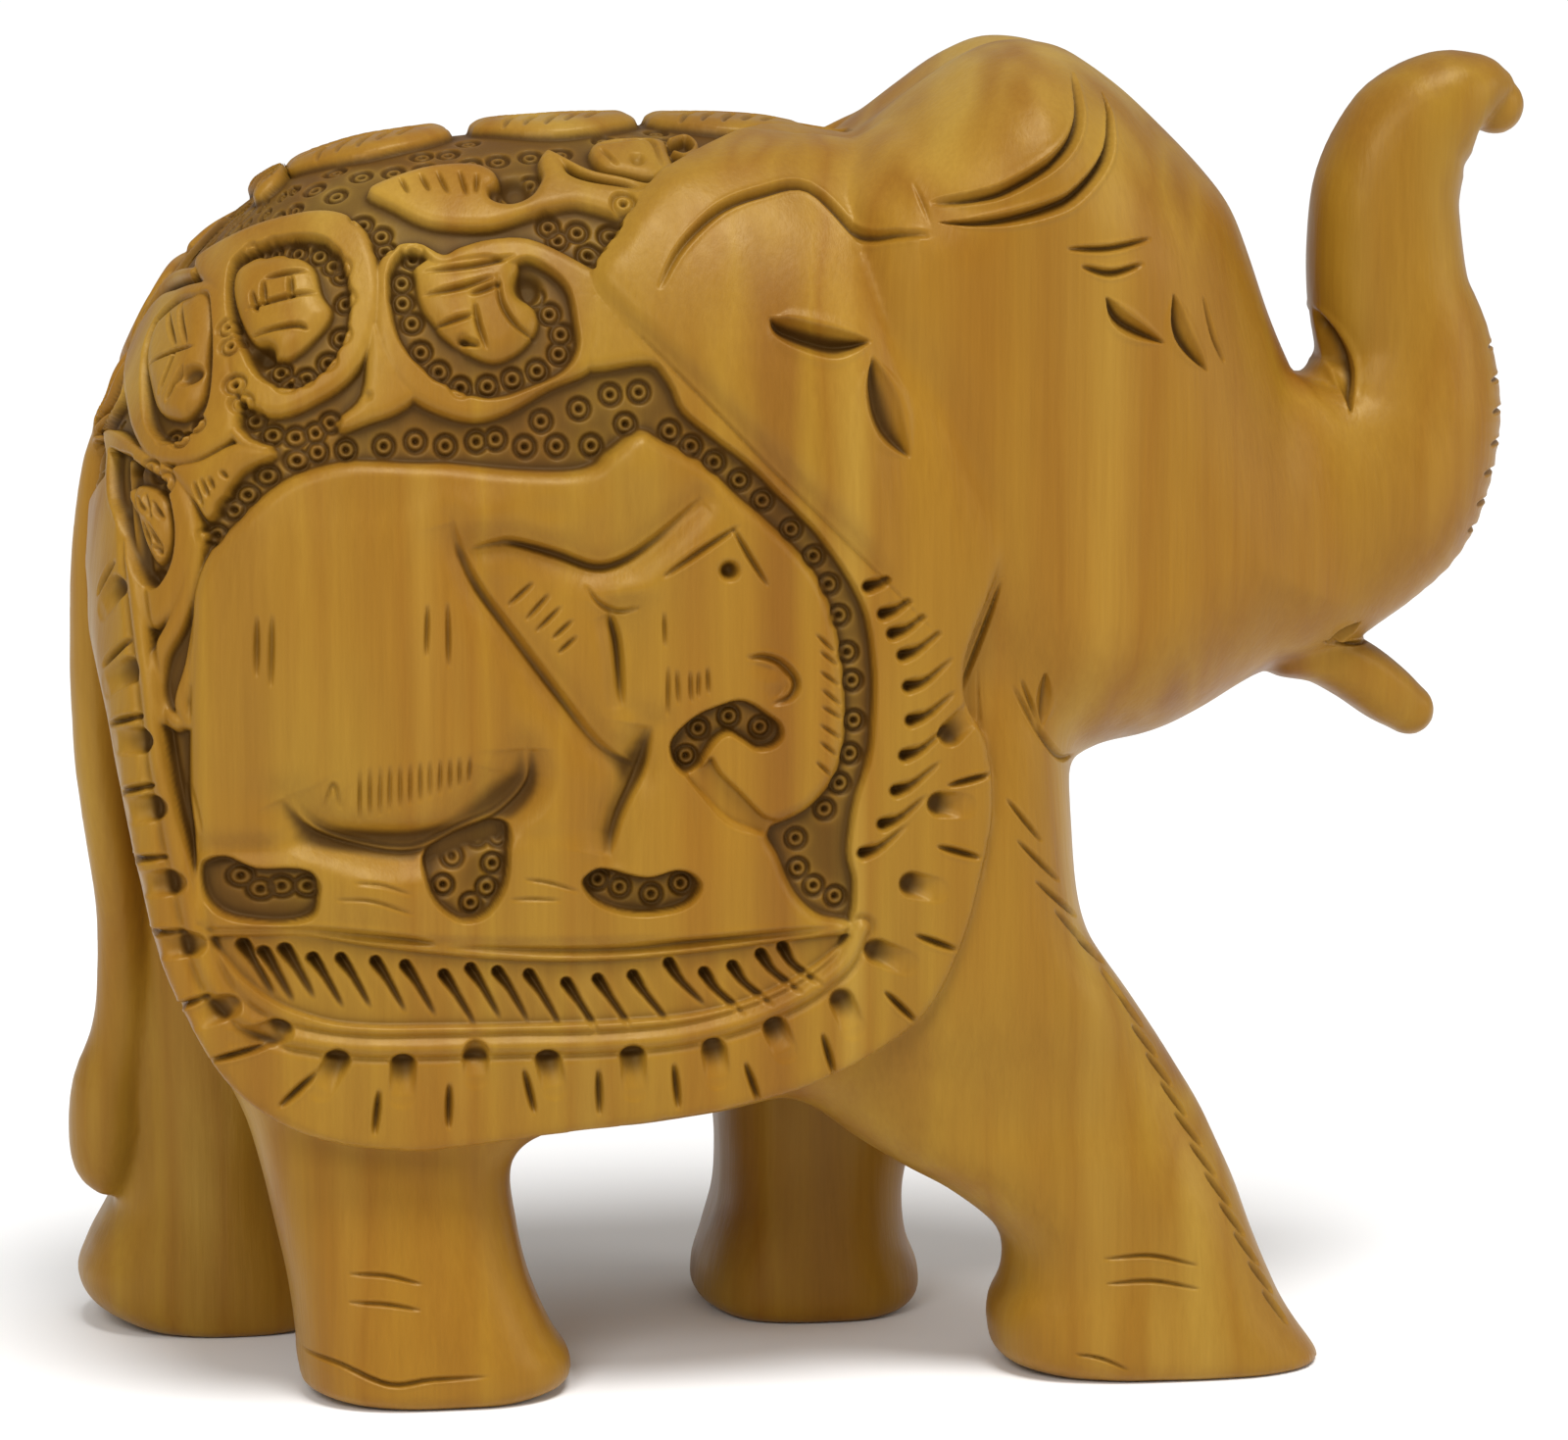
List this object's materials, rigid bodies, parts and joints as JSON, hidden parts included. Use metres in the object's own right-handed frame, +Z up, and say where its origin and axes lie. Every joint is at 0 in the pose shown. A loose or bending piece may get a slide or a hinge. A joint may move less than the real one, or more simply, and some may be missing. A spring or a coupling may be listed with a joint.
{
  "type": "carved elephant figurine",
  "caption": "Carved wooden elephant figurine striding with a raised trunk, wearing a relief-carved saddle cloth; stands on its soles.",
  "frame": {"origin": "middle of the footprint's bounding box, on the table under the soles", "axes": "+X to the head and trunk, +Y to the animal's left, +Z up"},
  "size_m": [0.1603, 0.0658, 0.143],
  "materials": {
    "wood": "light close-grained hardwood, hand carved and rubbed to a satin sheen, darker in the cuts"
  },
  "bodies": {
    "root": {"body": "wood", "cloth": "wood", "border_right": "wood", "border_left": "wood", "leaf_band_right": "wood", "leaf_band_left": "wood", "figure_right": "wood", "figure_left": "wood", "back_vine": "wood", "medallion_rump_right": "wood", "medallion_rump_left": "wood", "medallion_rear_right": "wood", "medallion_rear_left": "wood", "medallion_middle_right": "wood", "medallion_middle_left": "wood", "medallion_front_right": "wood", "medallion_front_left": "wood", "head": "wood", "ear_right": "wood", "ear_left": "wood", "trunk": "wood", "lower_jaw": "wood", "front_leg_right": "wood", "front_leg_left": "wood", "rear_leg_right": "wood", "rear_leg_left": "wood", "tail": "wood"}
  },
  "joints": []
}
